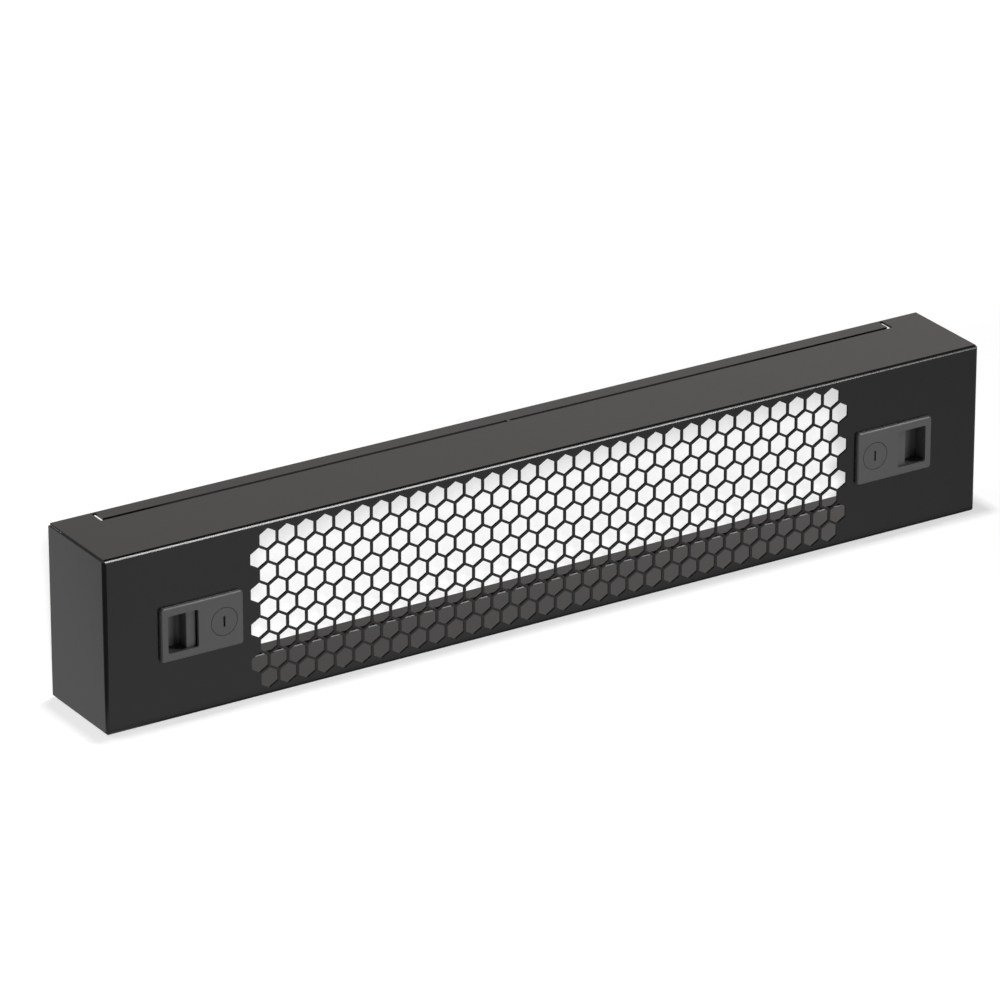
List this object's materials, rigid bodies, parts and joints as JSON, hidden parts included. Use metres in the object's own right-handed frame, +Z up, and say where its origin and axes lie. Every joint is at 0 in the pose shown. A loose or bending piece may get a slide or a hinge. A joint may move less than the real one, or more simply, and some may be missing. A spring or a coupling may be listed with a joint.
{
  "type": "rack security cover",
  "caption": "Lockable vented cover for a 19-inch rack, two units high, in black folded sheet steel with a hexagonal grille and a key-locking slide latch at each end",
  "frame": {"origin": "under the middle of the whole box, at the height of the cover's lower face", "axes": "X across the rack to the right seen from the front, Y from the front to the rear, Z up"},
  "size_m": [0.4826, 0.0528, 0.0867],
  "materials": {
    "black_paint": "satin powder coat",
    "latch_plastic": "fine grain",
    "lock_plastic": "satin",
    "zinc_steel": "zinc plated",
    "spring_steel": "bright strip"
  },
  "bodies": {
    "cover": {"security_cover": "black_paint", "left_latch_housing": "latch_plastic", "left_latch_spring": "spring_steel", "left_latch_back_plate": "latch_plastic", "left_rack_bracket": "black_paint", "right_latch_housing": "latch_plastic", "right_latch_spring": "spring_steel", "right_latch_back_plate": "latch_plastic", "right_rack_bracket": "black_paint"},
    "left_slider": {"left_latch_slider": "latch_plastic"},
    "left_lock": {"left_lock_plug": "lock_plastic", "left_lock_cam": "zinc_steel"},
    "right_slider": {"right_latch_slider": "latch_plastic"},
    "right_lock": {"right_lock_plug": "lock_plastic", "right_lock_cam": "zinc_steel"}
  },
  "joints": [
    {"name": "left_latch_slide", "type": "slide", "parent": "cover", "child": "left_slider", "axis": [1, 0, 0], "range_m": [0, 0.007], "stiffness_N_per_m": 400, "springref_m": -0.004, "deforming": ["left_latch_spring"]},
    {"name": "left_lock_turn", "type": "hinge", "parent": "cover", "child": "left_lock", "pos_m": [-0.1803, -0.0264, 0.04335], "axis": [0, -1, 0], "range_deg": [0, 90]},
    {"name": "right_latch_slide", "type": "slide", "parent": "cover", "child": "right_slider", "axis": [-1, 0, 0], "range_m": [0, 0.007], "stiffness_N_per_m": 400, "springref_m": -0.004, "deforming": ["right_latch_spring"]},
    {"name": "right_lock_turn", "type": "hinge", "parent": "cover", "child": "right_lock", "pos_m": [0.1803, -0.0264, 0.04335], "axis": [0, -1, 0], "range_deg": [0, 90]}
  ]
}
